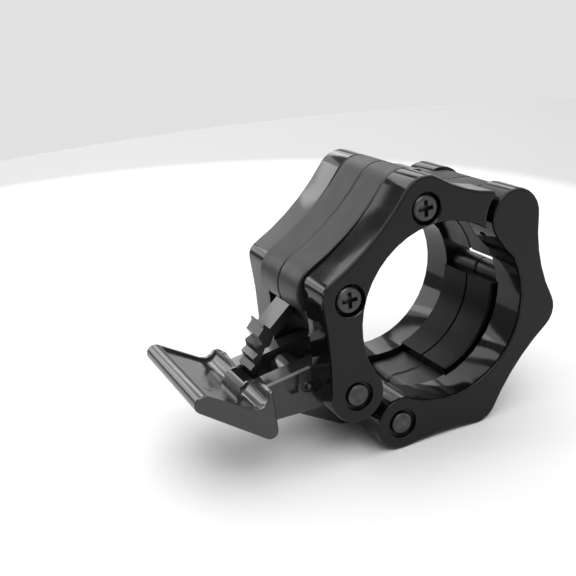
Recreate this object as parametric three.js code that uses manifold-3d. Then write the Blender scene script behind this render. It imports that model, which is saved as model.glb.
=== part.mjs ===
// A lever-lock barbell collar for a 50 mm bar sleeve, at full size in millimetres, +Z up.
// The bore runs along Y, the origin is the middle of the closed bore, and -Y is the front.
// The collar stands on two lobes of its right jaw with its lever swung partly open.
import * as THREE from 'three';
import { mergeVertices } from 'three/addons/utils/BufferGeometryUtils.js';
import Module from 'manifold-3d';

const library = await Module();
library.setup();
const { Manifold, Mesh: SolidMesh } = library;

// Bore and stack of mouldings, front to back
const sleeveDiameter = 50;
const padSqueeze = 0.2;
const padThickness = 2.9;
const plateBoreClearance = 1.2;
const overallWidth = 50.8;
const plateThickness = 12.4;
const seam = 0.3;
const plateEdgeRound = 0.9;
const plateInnerEdgeRound = 0.2;
const middleEdgeRound = 0.4;

// Pivots, all on one circle outside the bore; angles run anticlockwise seen from the front
const pivotOffset = 8;
const hingeAngle = 41.5;
const leverPivotAngle = 211.3;
const linkPivotAngle = 239.9;
const hingeLobeRadius = 8.3;
const leverLobeRadius = 8.2;
const linkLobeRadius = 8;
const pinRadius = 3.2;
const pinRingWidth = 1.3;
const pinRingDepth = 1.4;
const pinRecess = 0.25;
const pinEndRound = 0.4;
const hingePinRadius = 3;
const hingePinCover = 3.4;
const runningGap = 0.15;
const hingeLobeGap = 2;
const socketTipAngle = 7;
const hingeBlendInset = 1.3;
const hingeBlendStartAngle = 24;
const hingeBlendMiddleAngle = 42;
const hingeBlendEndAngle = 190;
const hingeBlendSteps = 5;

// Lobes between the pivots: reach of the tip beyond the bore, corner radius, angle
const lowerScrewLobe = { reach: 13.8, corner: 4.4, angle: 159.5 };
const upperScrewLobe = { reach: 14.3, corner: 7.9, angle: 97.4 };
const sideLobe = { reach: 13, corner: 7.3, angle: -14 };
const footLobe = { reach: 13.2, corner: 7.2, angle: -74.1 };
const leverWaistRadius = 150;
const screwWaistRadius = 74;
const topWaistRadius = 44;
const hingeWaistRadius = 46;
const sideWaistRadius = 68;
const footWaistRadius = 67;

// Middle mouldings and grip pads
const knuckleRadius = 7.4;
const padKeyDepth = 1.2;
const padKeyWidth = 6;
const padGrooveWidth = 0.6;
const padGrooveDepth = 0.5;
const leftPadStartAngle = 62;
const leftPadEndAngle = 186;
const leftWallThickness = 2.6;
const leftWallEndAngle = 189;
const leftMiddleLobe = { reach: 14.9, corner: 9.2, angle: 161.8 };
const leftMiddleLobeEndAngle = 188;
const leftTongueThickness = 3.2;
const leftTongueEndAngle = 13.4;
const leftFootOffset = 13;
const leftFootAngle = 171.3;
const rightPadStartAngle = -76;
const rightPadEndAngle = -3;
const rightMiddleStartAngle = -98;
const rightMiddleEndAngle = -1.5;
const rightMiddleInset = 2.4;
const rightTopCapRadius = 3.3;
const rightFootCapRadius = 3.4;

// Screws that hold each jaw together
const screwOffset = 5.1;
const leftScrewAngles = [160.3, 97.8];
const rightScrewAngles = [-12.5, -72];
const screwHeadRadius = 3.9;
const screwHeadHeight = 2.6;
const screwHeadRecess = 0.5;
const screwHeadRound = 0.5;
const screwShankRadius = 1.7;
const screwThreadCover = 3.2;
const counterboreGap = 0.7;
const counterboreDepth = 3.4;
const counterboreChamfer = 0.3;
const driveSlotLength = 4.6;
const driveSlotWidth = 1.15;
const driveSlotDepth = 1.7;

// Toggle: crank from the lever pivot to the link's outer pin, and the lever's turn from closed
const crankRadius = 9.5;
const overCentreAngle = 1.5;
const leverOpenAngle = 43.5;
const togglePinRadius = 1.55;
const toggleEyeRadius = 4.7;
const toggleEyeClearance = 1.6;
const linkBarrelRadius = 7.2;
const linkSideGap = 0.4;
const linkOuterRise = 10.3;
const linkBendRadius = 5;
const linkNearBend = 5.5;
const linkFarBend = 5;
const linkPinRoom = 4.3;
const linkBarrelStartAngle = 50;
const linkBarrelEndAngle = -230;
const linkNearBendAngle = 125;
const linkFarBendAngle = 45;
const linkEyeStartAngle = 60;
const linkPinRoomStartAngle = 20;
const linkPinRoomEndAngle = 160;

// Release latch: turns on its own pin and its toothed head passes through the lever.
// Head angles are seen from the lever's pivot, head radii follow the lever's window
const latchPivotOffset = 7.1;
const latchPivotAngle = 170;
const latchWidth = 8.8;
const latchSideGap = 0.35;
const latchTurnGap = 2.2;
const latchEyeRadius = 3.3;
const latchPinRadius = 1.5;
const latchPinCover = 3.1;
const latchStripThickness = 3;
const latchStripEndRadius = 20.4;
const latchStripEndAngle = 134.5;
const latchHeadStartAngle = 132.4;
const latchLipCrestAngle = 133.4;
const latchLipRootAngle = 134.9;
const latchBlockEndAngle = 141.2;
const latchTeethStartAngle = 144.2;
const latchCombStartAngle = 146.5;
const latchTeethEndAngle = 168.5;
const latchTipEndAngle = 171;
const latchLipCatch = 0.85;
const latchToothClearance = 1.1;
const latchToothDepth = 1.1;
const latchToothShare = 0.52;
const latchToothCount = 3;
const latchHeadThickness = 3.4;
const latchLipThickness = 4.5;
const latchCombThickness = 1.3;

// Torsion spring of the latch, a coil round the latch pin
const springWireRadius = 0.4;
const springCoilRadius = 2.3;
const springTurns = 3;
const springPitch = 1;
const springSideGap = 0.8;
const springRoomGap = 0.3;
const springWireSides = 5;
const springStepsPerTurn = 9;

// Lever: s runs from the pivot to the thumb end, t runs towards the ribbed outer side
const leverTiltAngle = 5.4;
const leverHubRadius = 7.4;
const leverSideGap = 0.7;
const leverSlotGap = 0.8;
const armRootRise = 7;
const armTipInner = 5.3;
const armHeelStep = 0.1;
const armEdgeRound = 0.6;
const armPocketDepth = 1.2;
const armPocketNear = 11.4;
const armPocketStep = 12.6;
const armPocketLow = 14.7;
const armPocketFar = 16.8;
const armPocketInner = 5.8;
const armPocketFarInner = 4.4;
const armPocketOuter = 0.3;

// Thumb plate at the lever's end: near wall, hollow, straight inner face, round nose, ribbed face
const thumbSideInset = 4.1;
const thumbNear = 23.5;
const thumbNearInner = 8.1;
const thumbWall = 0.9;
const thumbHollowRadius = 3.5;
const thumbHollowInner = 4.4;
const thumbInnerAngle = -34.3;
const thumbNoseRadius = 2.55;
const thumbFaceAngle = -39.5;
const thumbFaceLength = 22.7;
const thumbHeelRadius = 2.2;
const thumbHeelOuter = 6;
const thumbEdgeRound = 0.3;
const saddleInner = 5.4;
const saddleHalfWidth = 6;
const saddleRise = 10;
const saddleRearCrest = 13.5;
const saddleRearInner = 7.2;
const panDepth = 0.8;
const panRim = 1.6;
const panFar = 41.2;
const panStartAngle = 165;
const windowInset = 1.7;
const windowCatchInner = 3.6;
const windowCatchThickness = 1.2;
const windowCatchRoom = 0.6;
const ribCount = 6;
const ribGrooveWidth = 1.3;
const ribGrooveDepth = 0.8;
const ribFrame = 2.6;

// Smoothness of round shapes: how far a flat side may cut inside its arc
const arcGap = 0.08;
const pinSides = 24;
const holeSides = 24;
const cutOverrun = 1;

const fullTurnAngle = 360;
const halfTurnAngle = fullTurnAngle / 2;
const quarterTurnAngle = fullTurnAngle / 4;
const degree = Math.PI / 180;
const boreRadius = sleeveDiameter / 2 + plateBoreClearance;
const padBoreRadius = sleeveDiameter / 2 - padSqueeze;
const padOuterRadius = padBoreRadius + padThickness;
const middleBoreRadius = padOuterRadius + seam;
const pivotCircleRadius = boreRadius + pivotOffset;
const frontFace = -overallWidth / 2;
const rearFace = overallWidth / 2;
const plateInnerFace = rearFace - plateThickness;
const middleFace = plateInnerFace - seam;
const partingFace = seam / 2;
const counterboreRadius = screwHeadRadius + counterboreGap;
const latchPinHalf = middleFace - latchPinCover;
const springStart = latchWidth / 2 + springSideGap;
const leverHalfWidth = plateInnerFace - leverSideGap;
const leverSlotWidth = latchWidth + 2 * leverSlotGap;
const linkArmWidth = leverSlotWidth - 2 * linkSideGap;
const thumbHalfWidth = rearFace - thumbSideInset;
const windowReach = thumbNear + windowInset;
const latchLipRadius = windowReach + latchLipCatch;
const latchBlockRadius = Math.hypot(windowReach, windowCatchInner) - runningGap;
const latchToothRadius = windowReach - latchToothClearance;

function polar(radius, angle) {
  return new THREE.Vector2(radius * Math.cos(angle * degree), radius * Math.sin(angle * degree));
}

function lobeCentre(lobe) {
  return polar(boreRadius + lobe.reach - lobe.corner, lobe.angle);
}

function angleFrom(centre, point) {
  return Math.atan2(point.y - centre.y, point.x - centre.x) / degree;
}

const hingePoint = polar(pivotCircleRadius, hingeAngle);
const leverPoint = polar(pivotCircleRadius, leverPivotAngle);
const linkPointClosed = polar(pivotCircleRadius, linkPivotAngle);

// Points where two circles cross; side 1 is left of the line from the first centre to the second
function circleCrossing(centreA, radiusA, centreB, radiusB, side) {
  const line = centreB.clone().sub(centreA);
  const distance = line.length();
  line.divideScalar(distance);
  const along = (distance * distance + radiusA * radiusA - radiusB * radiusB) / (2 * distance);
  const across = Math.sqrt(Math.max(radiusA * radiusA - along * along, 0));
  const point = centreA.clone().addScaledVector(line, along);
  return point.addScaledVector(new THREE.Vector2(-line.y, line.x), side * across);
}

// The jaw is turned about its hinge until the link's outer pin meets the lever's crank
const pivotLine = angleFrom(linkPointClosed, leverPoint);
const crankAngleClosed = pivotLine - overCentreAngle;
const togglePointClosed = leverPoint.clone().add(polar(crankRadius, crankAngleClosed));
const linkLength = togglePointClosed.distanceTo(linkPointClosed);
const crankAngle = crankAngleClosed + leverOpenAngle;
const togglePoint = leverPoint.clone().add(polar(crankRadius, crankAngle));
const hingeToLink = hingePoint.distanceTo(linkPointClosed);
const linkPoint = circleCrossing(togglePoint, linkLength, hingePoint, hingeToLink, -1);
const jawOpenAngle = angleFrom(hingePoint, linkPoint) - angleFrom(hingePoint, linkPointClosed);

// An arc as points, from one angle to another, anticlockwise when the second is larger
function arc(centre, radius, from, to) {
  const stepAngle = (2 * Math.acos(1 - arcGap / radius)) / degree;
  const steps = Math.ceil(Math.abs(to - from) / stepAngle);
  const points = [];
  for (let i = 0; i <= steps; i += 1) {
    const angle = from + ((to - from) * i) / steps;
    points.push(centre.clone().add(polar(radius, angle)));
  }
  return points;
}

function boreArc(radius, from, to) {
  return arc(new THREE.Vector2(), radius, from, to);
}

function lowerThan(angle, limit) {
  let turned = angle;
  while (turned > limit) turned -= fullTurnAngle;
  while (turned <= limit - fullTurnAngle) turned += fullTurnAngle;
  return turned;
}

// Round corners joined by hollow waists, clockwise round the bore; each corner is a circle
function lobedEdge(corners, waists, startAngle, endAngle) {
  const points = [];
  const hollows = waists.map((radius, i) => circleCrossing(
    corners[i].centre,
    corners[i].radius + radius,
    corners[i + 1].centre,
    corners[i + 1].radius + radius,
    1,
  ));
  corners.forEach((corner, i) => {
    const from = i === 0 ? startAngle : angleFrom(corner.centre, hollows[i - 1]);
    const last = i === corners.length - 1;
    const to = lowerThan(last ? endAngle : angleFrom(corner.centre, hollows[i]), from);
    points.push(...arc(corner.centre, corner.radius, from, to));
    if (last) return;
    const next = corners[i + 1];
    const waistFrom = angleFrom(hollows[i], corner.centre);
    let waistTo = angleFrom(hollows[i], next.centre);
    while (waistTo < waistFrom) waistTo += fullTurnAngle;
    points.push(...arc(hollows[i], waists[i], waistFrom, waistTo).slice(1, -1));
  });
  return points;
}

function dropRepeats(points) {
  return points.filter((point, i) => {
    const before = points[(i + points.length - 1) % points.length];
    return point.distanceTo(before) > seam / 2;
  });
}

// A front-view outline pushed along the bore between two depths, with rounded edges
function slab(points, fromDepth, toDepth, edgeRound = 0, roundSteps = 1) {
  const shape = new THREE.Shape(dropRepeats(points));
  const geometry = new THREE.ExtrudeGeometry(shape, {
    depth: toDepth - fromDepth - 2 * edgeRound,
    bevelEnabled: edgeRound > 0,
    bevelThickness: edgeRound,
    bevelSize: edgeRound,
    bevelOffset: -edgeRound,
    bevelSegments: roundSteps,
    steps: 1,
  });
  geometry.rotateX(Math.PI / 2);
  geometry.translate(0, toDepth - edgeRound, 0);
  return geometry;
}

function toSolid(geometry) {
  const bare = geometry.clone();
  bare.deleteAttribute('normal');
  bare.deleteAttribute('uv');
  const merged = mergeVertices(bare);
  return new Manifold(new SolidMesh({
    numProp: 3,
    vertProperties: new Float32Array(merged.attributes.position.array),
    triVerts: new Uint32Array(merged.index.array),
  }));
}

function toGeometry(solid) {
  const mesh = solid.getMesh();
  const geometry = new THREE.BufferGeometry();
  geometry.setAttribute('position', new THREE.BufferAttribute(new Float32Array(mesh.vertProperties), 3));
  geometry.setIndex(new THREE.BufferAttribute(new Uint32Array(mesh.triVerts), 1));
  const faceted = geometry.toNonIndexed();
  faceted.computeVertexNormals();
  return faceted;
}

function slabSolid(...options) {
  return toSolid(slab(...options));
}

// A round bar along the bore direction at a front-view point
function bar(centre, radius, fromDepth, toDepth, sides = holeSides) {
  const geometry = new THREE.CylinderGeometry(radius, radius, toDepth - fromDepth, sides);
  geometry.translate(centre.x, (fromDepth + toDepth) / 2, centre.y);
  return toSolid(geometry);
}

// A body turned about the bore direction from half its outline, [radius, depth] pairs
function turned(profile, centre) {
  const geometry = new THREE.LatheGeometry(profile.map(([r, y]) => new THREE.Vector2(r, y)), pinSides);
  geometry.translate(centre.x, 0, centre.y);
  return toSolid(geometry);
}

function box(width, depth, height, x, y, z) {
  const geometry = new THREE.BoxGeometry(width, depth, height);
  geometry.translate(x, y, z);
  return toSolid(geometry);
}

// Outline of a left jaw plate, round its lobes and back along the bore
function leftPlateOutline() {
  const corners = [
    { centre: leverPoint, radius: leverLobeRadius },
    { centre: lobeCentre(lowerScrewLobe), radius: lowerScrewLobe.corner },
    { centre: lobeCentre(upperScrewLobe), radius: upperScrewLobe.corner },
  ];
  const boreCentre = new THREE.Vector2();
  const leverInner = circleCrossing(boreCentre, boreRadius, leverPoint, leverLobeRadius, -1);
  const hingeGapRadius = hingeLobeRadius + hingeLobeGap;
  const hingeInner = circleCrossing(boreCentre, boreRadius, hingePoint, hingeGapRadius, 1);
  const last = corners[2];
  const topHollow = circleCrossing(
    last.centre,
    last.radius + topWaistRadius,
    hingePoint,
    hingeLobeRadius + topWaistRadius,
    1,
  );
  const hingeOuter = circleCrossing(hingePoint, hingeGapRadius, topHollow, topWaistRadius, 1);
  const edge = lobedEdge(
    corners,
    [leverWaistRadius, screwWaistRadius],
    angleFrom(leverPoint, leverInner),
    angleFrom(last.centre, topHollow),
  );
  let topTo = angleFrom(topHollow, hingeOuter);
  const topFrom = angleFrom(topHollow, last.centre);
  while (topTo < topFrom) topTo += fullTurnAngle;
  const top = arc(topHollow, topWaistRadius, topFrom, topTo - socketTipAngle / 3);
  const outerAngle = angleFrom(hingePoint, hingeOuter);
  let innerAngle = angleFrom(hingePoint, hingeInner);
  while (innerAngle < outerAngle) innerAngle += fullTurnAngle;
  const socket = arc(hingePoint, hingeGapRadius, outerAngle + socketTipAngle, innerAngle);
  const from = angleFrom(boreCentre, hingeInner);
  const to = angleFrom(boreCentre, leverInner) + fullTurnAngle;
  return [...edge, ...top, ...socket, ...boreArc(boreRadius, from, to)];
}

// Outline of a right jaw plate, with the jaw closed
function rightPlateOutline() {
  const corners = [
    { centre: hingePoint, radius: hingeLobeRadius },
    { centre: lobeCentre(sideLobe), radius: sideLobe.corner },
    { centre: lobeCentre(footLobe), radius: footLobe.corner },
    { centre: linkPointClosed, radius: linkLobeRadius },
  ];
  const boreCentre = new THREE.Vector2();
  const linkInner = circleCrossing(boreCentre, boreRadius, linkPointClosed, linkLobeRadius, 1);
  const edge = lobedEdge(
    corners,
    [hingeWaistRadius, sideWaistRadius, footWaistRadius],
    hingeBlendEndAngle,
    angleFrom(linkPointClosed, linkInner),
  );
  const bore = boreArc(boreRadius, angleFrom(boreCentre, linkInner), hingeBlendStartAngle);
  const blend = new THREE.QuadraticBezierCurve(
    bore[bore.length - 1],
    polar(boreRadius - hingeBlendInset, hingeBlendMiddleAngle),
    edge[0],
  );
  return [...edge, ...bore, ...blend.getPoints(hingeBlendSteps).slice(1, -1)];
}

function screwPoint(angle) {
  return polar(boreRadius + screwOffset, angle);
}

// Pieces on the rear are the front ones seen in a mirror through the middle of the bore
function mirrored(solid, atRear) {
  return atRear ? solid.mirror([0, 1, 0]) : solid;
}

// Each plate is drawn at the front, well rounded outside and crisp inside: through pin with a
// sunk ring, blind hinge hole or screw holes
function pinRing(centre) {
  const ring = bar(centre, pinRadius + pinRingWidth, frontFace - cutOverrun, frontFace + pinRingDepth);
  const hole = bar(centre, pinRadius + runningGap, frontFace - cutOverrun, -plateInnerFace + cutOverrun);
  return ring.add(hole);
}

function headSideScrewHole(centre) {
  const profile = [
    [0, frontFace - cutOverrun],
    [counterboreRadius + counterboreChamfer + cutOverrun, frontFace - cutOverrun],
    [counterboreRadius, frontFace + counterboreChamfer],
    [counterboreRadius, frontFace + counterboreDepth],
    [0, frontFace + counterboreDepth],
  ];
  const shank = bar(centre, screwShankRadius + runningGap, frontFace, -plateInnerFace + cutOverrun);
  return turned(profile, centre).add(shank);
}

function threadSideScrewHole(centre) {
  const holeEnd = -plateInnerFace + cutOverrun;
  return bar(centre, screwShankRadius + runningGap, frontFace + screwThreadCover, holeEnd);
}

function plate(outline, pinCentre, screwAngles, screwHole, extraCut, atRear) {
  const outer = slabSolid(outline, frontFace, -plateInnerFace - plateEdgeRound, plateEdgeRound, 2);
  const inner = slabSolid(outline, frontFace + plateThickness / 2, -plateInnerFace, plateInnerEdgeRound);
  let solid = outer.add(inner).subtract(pinRing(pinCentre));
  screwAngles.forEach((angle) => {
    solid = solid.subtract(screwHole(screwPoint(angle)));
  });
  if (extraCut) solid = solid.subtract(extraCut);
  return mirrored(solid, atRear);
}

function leftPlate(atRear) {
  const hole = atRear ? threadSideScrewHole : headSideScrewHole;
  return plate(leftPlateOutline(), leverPoint, leftScrewAngles, hole, null, atRear);
}

function rightPlate(atRear) {
  const hole = atRear ? headSideScrewHole : threadSideScrewHole;
  const hingeHole = bar(
    hingePoint,
    hingePinRadius + runningGap,
    frontFace + hingePinCover,
    -plateInnerFace + cutOverrun,
  );
  return plate(rightPlateOutline(), linkPointClosed, rightScrewAngles, hole, hingeHole, atRear);
}

// Key that stops a pad from turning: a rib on the pad's back in a slot of the middle mouldings
function padKey(angle, clearance) {
  const reach = padKeyDepth + clearance;
  const key = box(
    reach + padThickness / 2,
    2 * middleFace,
    padKeyWidth + 2 * clearance,
    padOuterRadius + (reach - padThickness / 2) / 2,
    0,
    0,
  );
  return key.rotate([0, -angle, 0]);
}

function pad(fromAngle, toAngle) {
  const outline = [
    ...boreArc(padOuterRadius, fromAngle, toAngle),
    ...boreArc(padBoreRadius, toAngle, fromAngle),
  ];
  const groove = boreRing(
    padBoreRadius - cutOverrun,
    padBoreRadius + padGrooveDepth,
    -padGrooveWidth / 2,
    padGrooveWidth / 2,
  );
  const body = slabSolid(outline, -middleFace, middleFace, middleEdgeRound);
  return body.add(padKey((fromAngle + toAngle) / 2, 0)).subtract(groove);
}

function boreRing(innerRadius, outerRadius, fromDepth, toDepth) {
  const profile = [
    [innerRadius, fromDepth],
    [outerRadius, fromDepth],
    [outerRadius, toDepth],
    [innerRadius, toDepth],
    [innerRadius, fromDepth],
  ];
  const sides = 2 * pinSides;
  const points = profile.map(([r, y]) => new THREE.Vector2(r, y));
  return toSolid(new THREE.LatheGeometry(points, sides));
}

// The left middle swells past the plates at its lower lobe, follows them round the upper one and
// carries the hinge knuckle. A tongue hangs from the knuckle, a thin wall ends it behind the pad
function leftMiddleOutline() {
  const corners = [
    { centre: lobeCentre(leftMiddleLobe), radius: leftMiddleLobe.corner },
    { centre: lobeCentre(upperScrewLobe), radius: upperScrewLobe.corner },
    { centre: hingePoint, radius: knuckleRadius },
  ];
  const boreCentre = new THREE.Vector2();
  const tongueRadius = middleBoreRadius + leftTongueThickness;
  const tongueTop = circleCrossing(boreCentre, tongueRadius, hingePoint, knuckleRadius, -1);
  const wallRadius = middleBoreRadius + leftWallThickness;
  const footOuter = polar(boreRadius + leftFootOffset, leftFootAngle);
  const edge = lobedEdge(
    corners,
    [screwWaistRadius, topWaistRadius],
    leftMiddleLobeEndAngle,
    angleFrom(hingePoint, tongueTop),
  );
  const tongue = boreArc(tongueRadius, angleFrom(boreCentre, tongueTop), leftTongueEndAngle);
  const back = boreArc(middleBoreRadius, leftTongueEndAngle, leftWallEndAngle);
  const wall = boreArc(wallRadius, leftWallEndAngle, leftFootAngle);
  return [footOuter, ...edge, ...tongue, ...back, ...wall];
}

function latchPoint() {
  return polar(boreRadius + latchPivotOffset, latchPivotAngle);
}

function fromLever(radius, angle) {
  return leverPoint.clone().add(polar(radius, angle));
}

function latchStripEnd() {
  return fromLever(latchStripEndRadius, latchStripEndAngle);
}

// A bar that starts at a front-view point and runs off at an angle, top and bottom beside its line
function beam(start, angle, length, top, bottom, halfWidth) {
  const solid = box(length, 2 * halfWidth, top - bottom, length / 2, 0, (top + bottom) / 2);
  return solid.rotate([0, -angle, 0]).translate([start.x, 0, start.y]);
}

// Room for the latch, its pin and its spring, cut out of both middle halves
function latchRoom() {
  const pivot = latchPoint();
  const halfWidth = latchWidth / 2 + latchSideGap;
  const eyeRoom = latchEyeRadius + latchSideGap;
  const reach = 2 * pivot.distanceTo(latchStripEnd());
  const stripAngle = angleFrom(pivot, latchStripEnd());
  const around = bar(pivot, eyeRoom, -halfWidth, halfWidth);
  const channel = beam(pivot, stripAngle, reach, latchTurnGap + eyeRoom, -eyeRoom, halfWidth);
  const pinHole = bar(pivot, latchPinRadius + runningGap, -latchPinHalf - seam, latchPinHalf + seam);
  const coilRoom = springCoilRadius + springWireRadius + springRoomGap;
  const coilEnd = springStart + springTurns * springPitch + springWireRadius + springRoomGap;
  const coil = bar(pivot, coilRoom, 0, coilEnd);
  return around.add(channel).add(pinHole).add(coil);
}

function leftMiddle(atRear) {
  let solid = slabSolid(leftMiddleOutline(), -middleFace, -partingFace, middleEdgeRound);
  solid = solid.subtract(bar(hingePoint, hingePinRadius + runningGap, -middleFace - cutOverrun, cutOverrun));
  const room = latchRoom();
  solid = solid.subtract(atRear ? room.mirror([0, 1, 0]) : room);
  leftScrewAngles.forEach((angle) => {
    const hole = bar(screwPoint(angle), screwShankRadius + runningGap, -middleFace - cutOverrun, cutOverrun);
    solid = solid.subtract(hole);
  });
  solid = solid.subtract(padKey((leftPadStartAngle + leftPadEndAngle) / 2, seam));
  return mirrored(solid, atRear);
}

// The right middle is set back from the plates and leaves a gap below the hinge knuckle
function rightMiddleOutline() {
  const topCap = polar(middleBoreRadius + rightTopCapRadius, rightMiddleEndAngle);
  const footCap = polar(middleBoreRadius + rightFootCapRadius, rightMiddleStartAngle);
  const corners = [
    { centre: topCap, radius: rightTopCapRadius },
    { centre: lobeCentre(sideLobe), radius: sideLobe.corner - rightMiddleInset },
    { centre: lobeCentre(footLobe), radius: footLobe.corner - rightMiddleInset },
    { centre: footCap, radius: rightFootCapRadius },
  ];
  const waists = [hingeWaistRadius, sideWaistRadius, footWaistRadius];
  const edgeStart = rightMiddleEndAngle + halfTurnAngle;
  const edge = lobedEdge(corners, waists, edgeStart, rightMiddleStartAngle + halfTurnAngle);
  return [...edge, ...boreArc(middleBoreRadius, rightMiddleStartAngle, rightMiddleEndAngle)];
}

function rightMiddle(atRear) {
  let solid = slabSolid(rightMiddleOutline(), -middleFace, -partingFace, middleEdgeRound);
  rightScrewAngles.forEach((angle) => {
    const hole = bar(screwPoint(angle), screwShankRadius + runningGap, -middleFace - cutOverrun, cutOverrun);
    solid = solid.subtract(hole);
  });
  solid = solid.subtract(padKey((rightPadStartAngle + rightPadEndAngle) / 2, seam));
  return mirrored(solid, atRear);
}

// A pin with rounded ends, sunk a little below both faces
function pin(centre, radius, halfLength) {
  const profile = [
    [0, -halfLength],
    [radius - pinEndRound, -halfLength],
    [radius, -halfLength + pinEndRound],
    [radius, halfLength - pinEndRound],
    [radius - pinEndRound, halfLength],
    [0, halfLength],
  ];
  return turned(profile, centre);
}

// A cross-slotted screw whose head sits in the front plate's counterbore
function screw(centre, atRear) {
  const headTop = frontFace + screwHeadRecess;
  const headBase = headTop + screwHeadHeight;
  const profile = [
    [0, headTop],
    [screwHeadRadius - screwHeadRound, headTop],
    [screwHeadRadius, headTop + screwHeadRound],
    [screwHeadRadius, headBase],
    [screwShankRadius, headBase],
    [screwShankRadius, rearFace - screwThreadCover - seam],
    [0, rearFace - screwThreadCover - seam],
  ];
  const slotDepth = driveSlotDepth + cutOverrun;
  const slotMiddle = headTop + driveSlotDepth - slotDepth / 2;
  const slot = box(driveSlotLength, slotDepth, driveSlotWidth, centre.x, slotMiddle, centre.y);
  const crossSlot = box(driveSlotWidth, slotDepth, driveSlotLength, centre.x, slotMiddle, centre.y);
  return mirrored(turned(profile, centre).subtract(slot).subtract(crossSlot), atRear);
}

// Link: a barrel between the right plates and a bowed arm that clears the lever's pin.
// It is drawn with its barrel at the origin, its eye along +X and its outer side up
function link() {
  const barrelHalf = middleFace - seam / 2;
  const eye = new THREE.Vector2(linkLength, 0);
  const origin = new THREE.Vector2();
  const bendLevel = linkOuterRise - linkBendRadius;
  const nearBend = new THREE.Vector2(linkNearBend, bendLevel);
  const farBend = new THREE.Vector2(linkLength - linkFarBend, bendLevel);
  const pinPlace = leverPoint.clone().sub(linkPointClosed);
  pinPlace.rotateAround(origin, -angleFrom(linkPointClosed, togglePointClosed) * degree);
  const outline = [
    ...arc(origin, linkBarrelRadius, linkBarrelStartAngle, linkBarrelEndAngle),
    ...arc(nearBend, linkBendRadius, linkNearBendAngle, quarterTurnAngle),
    ...arc(farBend, linkBendRadius, quarterTurnAngle, linkFarBendAngle),
    ...arc(eye, toggleEyeRadius, linkEyeStartAngle, -halfTurnAngle),
    ...arc(pinPlace, linkPinRoom, linkPinRoomStartAngle, linkPinRoomEndAngle),
  ];
  const arm = slabSolid(outline.reverse(), -linkArmWidth / 2, linkArmWidth / 2, armEdgeRound);
  const barrel = bar(origin, linkBarrelRadius, -barrelHalf, barrelHalf);
  const pinHole = bar(origin, pinRadius + runningGap, -barrelHalf - cutOverrun, barrelHalf + cutOverrun);
  const eyeHole = bar(eye, togglePinRadius + toggleEyeClearance, -linkArmWidth, linkArmWidth);
  return arm.add(barrel).subtract(pinHole).subtract(eyeHole);
}

// Lever outlines in the lever's own frame: s along X, t along Z
function heelCentre() {
  return new THREE.Vector2(thumbNear + thumbHeelRadius, thumbHeelOuter - thumbHeelRadius);
}

function ribFaceStart() {
  return heelCentre().add(polar(thumbHeelRadius, quarterTurnAngle + thumbFaceAngle));
}

function leverArm() {
  const outline = [
    ...arc(new THREE.Vector2(), leverHubRadius, quarterTurnAngle, 3 * quarterTurnAngle),
    new THREE.Vector2(leverHubRadius, -armRootRise),
    new THREE.Vector2(thumbNear + thumbWall, -armTipInner),
    new THREE.Vector2(thumbNear + thumbHeelRadius, thumbHeelOuter - armHeelStep),
    new THREE.Vector2(leverHubRadius, armRootRise),
  ];
  return slabSolid(outline, -leverHalfWidth, -leverSlotWidth / 2, armEdgeRound);
}

function hollowArc(depth, fromAngle, toAngle) {
  const s = thumbNear + thumbWall + thumbHollowRadius;
  const centre = new THREE.Vector2(s, depth - thumbHollowInner - thumbHollowRadius);
  return arc(centre, thumbHollowRadius, fromAngle, toAngle);
}

function thumbOutline() {
  const faceNormal = quarterTurnAngle + thumbFaceAngle;
  const faceEnd = ribFaceStart().add(polar(thumbFaceLength, thumbFaceAngle));
  const nose = faceEnd.clone().sub(polar(thumbNoseRadius, faceNormal));
  return [
    new THREE.Vector2(thumbNear, -thumbNearInner),
    ...arc(heelCentre(), thumbHeelRadius, halfTurnAngle, faceNormal),
    ...arc(nose, thumbNoseRadius, faceNormal, thumbInnerAngle - quarterTurnAngle),
    ...hollowArc(0, quarterTurnAngle + thumbInnerAngle, halfTurnAngle),
  ];
}

// The shallow pan of the thumb plate's inner side, inside a narrow rim, with a land at the window
function thumbPan() {
  const floor = hollowArc(panDepth, quarterTurnAngle + thumbInnerAngle, panStartAngle);
  const fall = Math.tan(thumbInnerAngle * degree);
  const far = new THREE.Vector2(panFar, floor[0].y + (panFar - floor[0].x) * fall);
  const near = floor[floor.length - 1];
  const outline = [
    ...floor,
    new THREE.Vector2(near.x, -thumbNearInner - cutOverrun),
    new THREE.Vector2(near.x, far.y - 2 * cutOverrun),
    new THREE.Vector2(panFar, far.y - 2 * cutOverrun),
    far,
  ];
  const landReach = latchLipRadius + windowCatchRoom + thumbWall;
  const land = box(landReach, leverSlotWidth + 2 * thumbWall, 2 * landReach, landReach / 2, 0, 0);
  return slabSolid(outline, panRim - thumbHalfWidth, thumbHalfWidth - panRim).subtract(land);
}

// The thumb plate's near wall dips to a saddle at the window and falls off again at the rear
function thumbSaddle() {
  const sideEnd = thumbHalfWidth + cutOverrun;
  const outline = [
    new THREE.Vector2(-sideEnd, -thumbNearInner),
    new THREE.Vector2(-saddleHalfWidth - saddleRise, -thumbNearInner),
    new THREE.Vector2(-saddleHalfWidth, -saddleInner),
    new THREE.Vector2(saddleHalfWidth, -saddleInner),
    new THREE.Vector2(saddleRearCrest, -saddleRearInner),
    new THREE.Vector2(sideEnd, -saddleInner),
    new THREE.Vector2(sideEnd, -2 * thumbNearInner),
    new THREE.Vector2(-sideEnd, -2 * thumbNearInner),
  ];
  const farEnd = thumbNear + thumbWall + thumbHollowRadius / 2;
  return slabSolid(outline, -farEnd, cutOverrun - thumbNear).rotate([0, 0, quarterTurnAngle]);
}

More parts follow.
